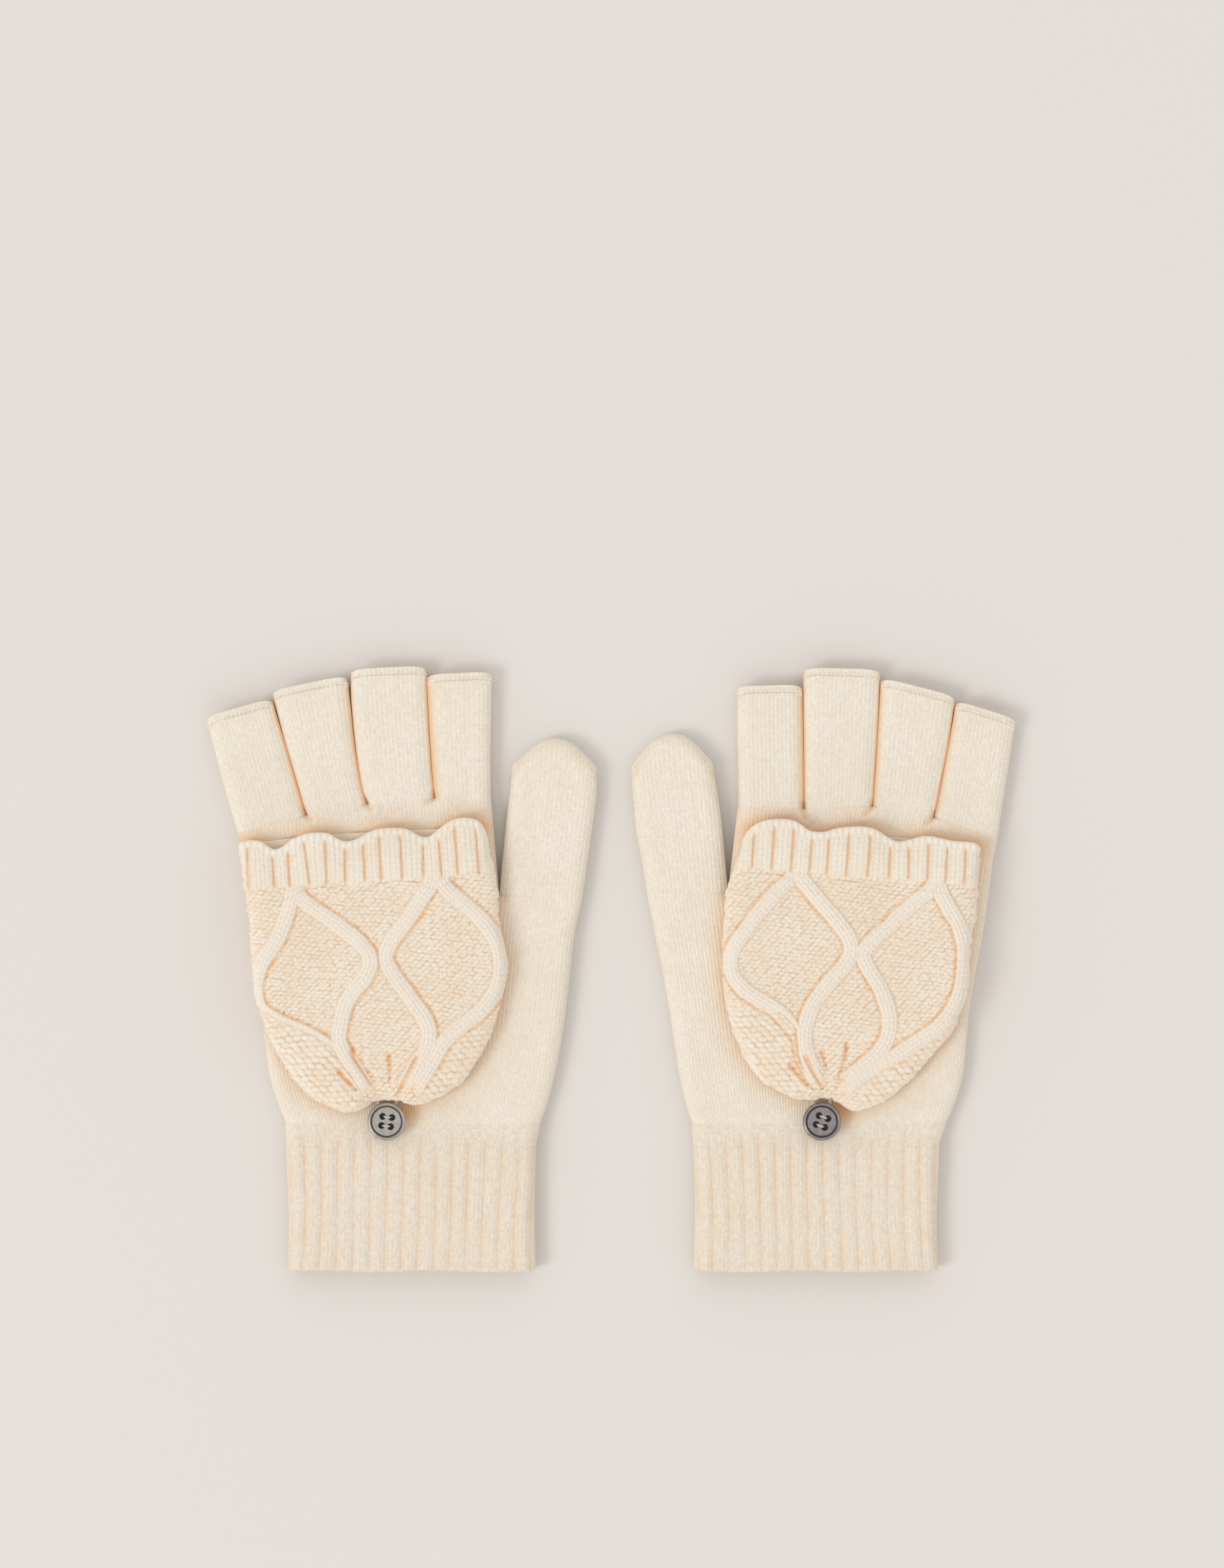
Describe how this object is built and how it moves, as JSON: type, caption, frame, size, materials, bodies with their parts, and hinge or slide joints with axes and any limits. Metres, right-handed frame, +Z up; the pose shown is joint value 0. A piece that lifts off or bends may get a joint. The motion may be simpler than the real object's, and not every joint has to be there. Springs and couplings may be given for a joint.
{
  "type": "fingerless gloves",
  "caption": "Pair of knitted fingerless gloves with full thumbs, ribbed cuffs and cable-knit mitten caps that fold back and hook round a button.",
  "frame": {"origin": "centre of the pair's box, on the surface that the gloves lie on", "axes": "+X across the pair from the left glove to the right one, +Y from the cuffs towards the fingertips, +Z up through the backs of the hands"},
  "size_m": [0.2756, 0.205, 0.0167],
  "materials": {
    "fine_knit": "soft fine stocking-stitch knit",
    "ribbed_knit": "ribbed knit",
    "cable_knit": "chunky cable knit",
    "pewter": "satin pewter grey",
    "gunmetal": "satin gunmetal grey",
    "sewing_thread": "pale glossy thread"
  },
  "bodies": {
    "left_hand": {"left_hand": "fine_knit", "left_cuff": "ribbed_knit", "left_cap_seam": "cable_knit"},
    "left_index": {"left_index_finger": "fine_knit", "left_index_finger_hem": "fine_knit"},
    "left_middle": {"left_middle_finger": "fine_knit", "left_middle_finger_hem": "fine_knit"},
    "left_ring": {"left_ring_finger": "fine_knit", "left_ring_finger_hem": "fine_knit"},
    "left_little": {"left_little_finger": "fine_knit", "left_little_finger_hem": "fine_knit"},
    "left_thumb": {"left_thumb": "fine_knit"},
    "left_cap": {"left_cap_front": "cable_knit", "left_cap_rib_band": "cable_knit", "left_cap_back": "cable_knit", "left_button_loop": "cable_knit"},
    "left_button": {"left_button": "pewter", "left_button_thread": "sewing_thread"},
    "right_hand": {"right_hand": "fine_knit", "right_cuff": "ribbed_knit", "right_cap_seam": "cable_knit"},
    "right_index": {"right_index_finger": "fine_knit", "right_index_finger_hem": "fine_knit"},
    "right_middle": {"right_middle_finger": "fine_knit", "right_middle_finger_hem": "fine_knit"},
    "right_ring": {"right_ring_finger": "fine_knit", "right_ring_finger_hem": "fine_knit"},
    "right_little": {"right_little_finger": "fine_knit", "right_little_finger_hem": "fine_knit"},
    "right_thumb": {"right_thumb": "fine_knit"},
    "right_cap": {"right_cap_front": "cable_knit", "right_cap_rib_band": "cable_knit", "right_cap_back": "cable_knit", "right_button_loop": "cable_knit"},
    "right_button": {"right_button": "gunmetal", "right_button_thread": "sewing_thread"}
  },
  "joints": [
    {"name": "left_index_flex", "type": "hinge", "parent": "left_hand", "child": "left_index", "pos_m": [-0.05235, 0.05665, 0], "axis": [-0.9999, -0.014, 0], "range_deg": [0, 80]},
    {"name": "left_middle_flex", "type": "hinge", "parent": "left_hand", "child": "left_middle", "pos_m": [-0.07448, 0.05579, 0], "axis": [-0.9981, -0.061, 0], "range_deg": [0, 80]},
    {"name": "left_ring_flex", "type": "hinge", "parent": "left_hand", "child": "left_ring", "pos_m": [-0.09666, 0.05332, 0], "axis": [-0.9863, -0.165, 0], "range_deg": [0, 80]},
    {"name": "left_little_flex", "type": "hinge", "parent": "left_hand", "child": "left_little", "pos_m": [-0.11786, 0.04899, 0], "axis": [-0.9724, -0.2334, 0], "range_deg": [0, 80]},
    {"name": "left_thumb_flex", "type": "hinge", "parent": "left_hand", "child": "left_thumb", "pos_m": [-0.0249, 0.02411, 0], "axis": [-0.9928, 0.1201, 0], "range_deg": [0, 60]},
    {"name": "left_cap_flip", "type": "hinge", "parent": "left_hand", "child": "left_cap", "pos_m": [-0.0854, 0.0458, 0.0122], "axis": [-0.9964, -0.0853, 0], "range_deg": [0, 180], "deforming": ["left_button_loop"]},
    {"name": "left_button_twist", "type": "hinge", "parent": "left_hand", "child": "left_button", "pos_m": [-0.0774, -0.0516, 0.0105], "axis": [0, 0, 1], "range_deg": [-25, 25]},
    {"name": "right_index_flex", "type": "hinge", "parent": "right_hand", "child": "right_index", "pos_m": [0.05235, 0.05665, 0], "axis": [-0.9999, 0.014, 0], "range_deg": [0, 80]},
    {"name": "right_middle_flex", "type": "hinge", "parent": "right_hand", "child": "right_middle", "pos_m": [0.07448, 0.05579, 0], "axis": [-0.9981, 0.061, 0], "range_deg": [0, 80]},
    {"name": "right_ring_flex", "type": "hinge", "parent": "right_hand", "child": "right_ring", "pos_m": [0.09666, 0.05332, 0], "axis": [-0.9863, 0.165, 0], "range_deg": [0, 80]},
    {"name": "right_little_flex", "type": "hinge", "parent": "right_hand", "child": "right_little", "pos_m": [0.11786, 0.04899, 0], "axis": [-0.9724, 0.2334, 0], "range_deg": [0, 80]},
    {"name": "right_thumb_flex", "type": "hinge", "parent": "right_hand", "child": "right_thumb", "pos_m": [0.0249, 0.02411, 0], "axis": [-0.9928, -0.1201, 0], "range_deg": [0, 60]},
    {"name": "right_cap_flip", "type": "hinge", "parent": "right_hand", "child": "right_cap", "pos_m": [0.0854, 0.0458, 0.0122], "axis": [-0.9964, 0.0853, 0], "range_deg": [0, 180], "deforming": ["right_button_loop"]},
    {"name": "right_button_twist", "type": "hinge", "parent": "right_hand", "child": "right_button", "pos_m": [0.07, -0.0516, 0.0105], "axis": [0, 0, 1], "range_deg": [-25, 25]},
    {"name": "right_glove_lift", "type": "slide", "parent": "left_hand", "child": "right_hand", "axis": [0, 0, 1], "range_m": [0, 0.12]}
  ]
}
